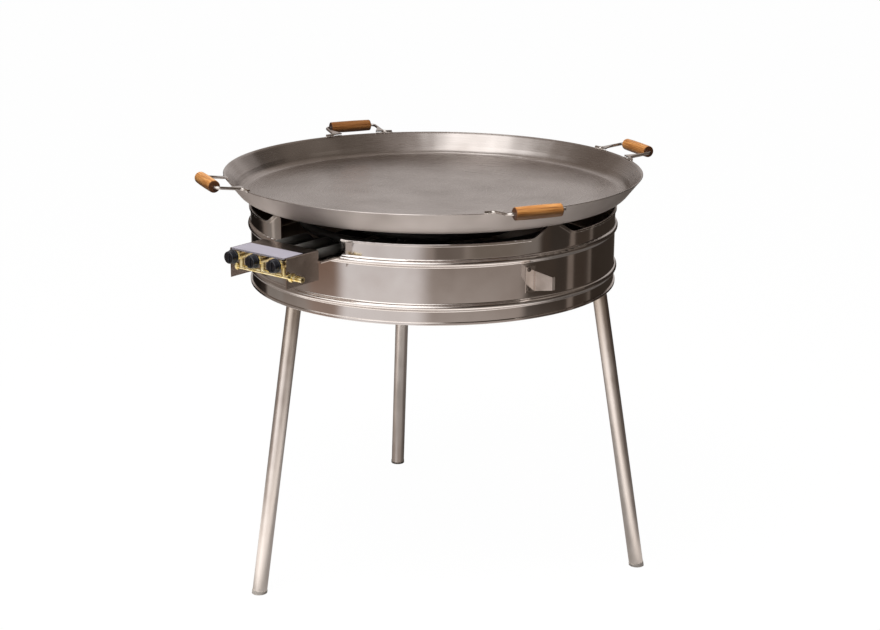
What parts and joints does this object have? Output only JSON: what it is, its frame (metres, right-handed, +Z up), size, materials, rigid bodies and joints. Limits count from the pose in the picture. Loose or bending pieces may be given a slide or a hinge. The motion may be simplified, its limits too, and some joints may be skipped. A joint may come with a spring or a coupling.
{
  "type": "griddle pan with gas burner",
  "caption": "Wide flared steel pan with wooden-gripped handles on a drum-shaped gas burner stand with splayed tube legs and a hooded row of taps.",
  "frame": {"origin": "on the floor under the drum's axis", "axes": "+Z up, the control unit faces -Y and the hose nozzle points to +X"},
  "size_m": [1.018, 1.1165, 0.9312],
  "materials": {
    "stainless_sheet": "bright stainless sheet",
    "bracket_steel": "satin steel sheet",
    "trim_metal": "bright satin plate",
    "hood_steel": "satin stainless sheet",
    "pan_steel": "spun brushed steel",
    "rod_steel": "drawn rod",
    "grip_wood": "oiled",
    "leg_steel": "satin tube",
    "cap_plastic": "matte grey",
    "burner_steel": "heat-proof black",
    "brass": "turned",
    "fastener_steel": "bright",
    "knob_plastic": "glossy black"
  },
  "bodies": {
    "stand": {"bracket_rivets": "fastener_steel", "burner_plate": "hood_steel", "burner_rail_left": "burner_steel", "burner_rail_right": "burner_steel", "burner_ring_inner": "burner_steel", "burner_ring_middle": "burner_steel", "burner_ring_outer": "burner_steel", "control_hood": "hood_steel", "drum_shell": "stainless_sheet", "feed_tube_inner": "burner_steel", "feed_tube_middle": "burner_steel", "feed_tube_outer": "burner_steel", "heat_shield": "stainless_sheet", "hood_plate": "trim_metal", "hose_nozzle": "brass", "jet_1": "brass", "jet_2": "brass", "jet_3": "brass", "leg_socket_1": "stainless_sheet", "leg_socket_2": "stainless_sheet", "leg_socket_3": "stainless_sheet", "manifold_pipe": "brass", "manifold_plug": "brass", "rail_clips": "burner_steel", "side_bracket": "bracket_steel", "tap_body_1": "brass", "tap_body_2": "brass", "tap_body_3": "brass", "tap_gland_1": "brass", "tap_gland_2": "brass", "tap_gland_3": "brass"},
    "pan": {"pan_body": "pan_steel", "handle_rod_1": "rod_steel", "handle_rod_2": "rod_steel", "handle_rod_3": "rod_steel", "handle_rod_4": "rod_steel"},
    "grip_1": {"handle_grip_1": "grip_wood"},
    "grip_2": {"handle_grip_2": "grip_wood"},
    "grip_3": {"handle_grip_3": "grip_wood"},
    "grip_4": {"handle_grip_4": "grip_wood"},
    "leg_1": {"leg_tube_1": "leg_steel", "leg_cap_1": "cap_plastic"},
    "tap_1": {"tap_plug_1": "brass"},
    "knob_1": {"knob_1": "knob_plastic", "tap_stem_1": "fastener_steel"},
    "leg_2": {"leg_tube_2": "leg_steel", "leg_cap_2": "cap_plastic"},
    "tap_2": {"tap_plug_2": "brass"},
    "knob_2": {"knob_2": "knob_plastic", "tap_stem_2": "fastener_steel"},
    "leg_3": {"leg_tube_3": "leg_steel", "leg_cap_3": "cap_plastic"},
    "tap_3": {"tap_plug_3": "brass"},
    "knob_3": {"knob_3": "knob_plastic", "tap_stem_3": "fastener_steel"}
  },
  "joints": [
    {"name": "pan_lift", "type": "slide", "parent": "stand", "child": "pan", "axis": [0, 0, 1], "range_m": [0, 0.15]},
    {"name": "grip_1_spin", "type": "hinge", "parent": "pan", "child": "grip_1", "pos_m": [0.47276, -0.25243, 0.91706], "axis": [0.471, 0.8821, 0], "continuous": true},
    {"name": "grip_2_spin", "type": "hinge", "parent": "pan", "child": "grip_2", "pos_m": [0.25243, 0.47276, 0.91706], "axis": [-0.8821, 0.471, 0], "continuous": true},
    {"name": "grip_3_spin", "type": "hinge", "parent": "pan", "child": "grip_3", "pos_m": [-0.47276, 0.25243, 0.91706], "axis": [-0.471, -0.8821, 0], "continuous": true},
    {"name": "grip_4_spin", "type": "hinge", "parent": "pan", "child": "grip_4", "pos_m": [-0.25243, -0.47276, 0.91706], "axis": [0.8821, -0.471, 0], "continuous": true},
    {"name": "leg_1_pull", "type": "slide", "parent": "stand", "child": "leg_1", "axis": [-0.0317, -0.1627, -0.9862], "range_m": [0, 0.055]},
    {"name": "leg_2_pull", "type": "slide", "parent": "stand", "child": "leg_2", "axis": [0.1567, 0.0538, -0.9862], "range_m": [0, 0.055]},
    {"name": "leg_3_pull", "type": "slide", "parent": "stand", "child": "leg_3", "axis": [-0.125, 0.1088, -0.9862], "range_m": [0, 0.055]},
    {"name": "tap_1_turn", "type": "hinge", "parent": "stand", "child": "tap_1", "pos_m": [-0.0605, -0.566, 0.804], "axis": [0, -1, 0], "range_deg": [0, 210]},
    {"name": "knob_1_push", "type": "slide", "parent": "tap_1", "child": "knob_1", "axis": [0, 1, 0], "range_m": [0, 0.003], "stiffness_N_per_m": 800, "springref_m": -0.002},
    {"name": "tap_2_turn", "type": "hinge", "parent": "stand", "child": "tap_2", "pos_m": [0, -0.566, 0.804], "axis": [0, -1, 0], "range_deg": [0, 210]},
    {"name": "knob_2_push", "type": "slide", "parent": "tap_2", "child": "knob_2", "axis": [0, 1, 0], "range_m": [0, 0.003], "stiffness_N_per_m": 800, "springref_m": -0.002},
    {"name": "tap_3_turn", "type": "hinge", "parent": "stand", "child": "tap_3", "pos_m": [0.0605, -0.566, 0.804], "axis": [0, -1, 0], "range_deg": [0, 210]},
    {"name": "knob_3_push", "type": "slide", "parent": "tap_3", "child": "knob_3", "axis": [0, 1, 0], "range_m": [0, 0.003], "stiffness_N_per_m": 800, "springref_m": -0.002}
  ]
}
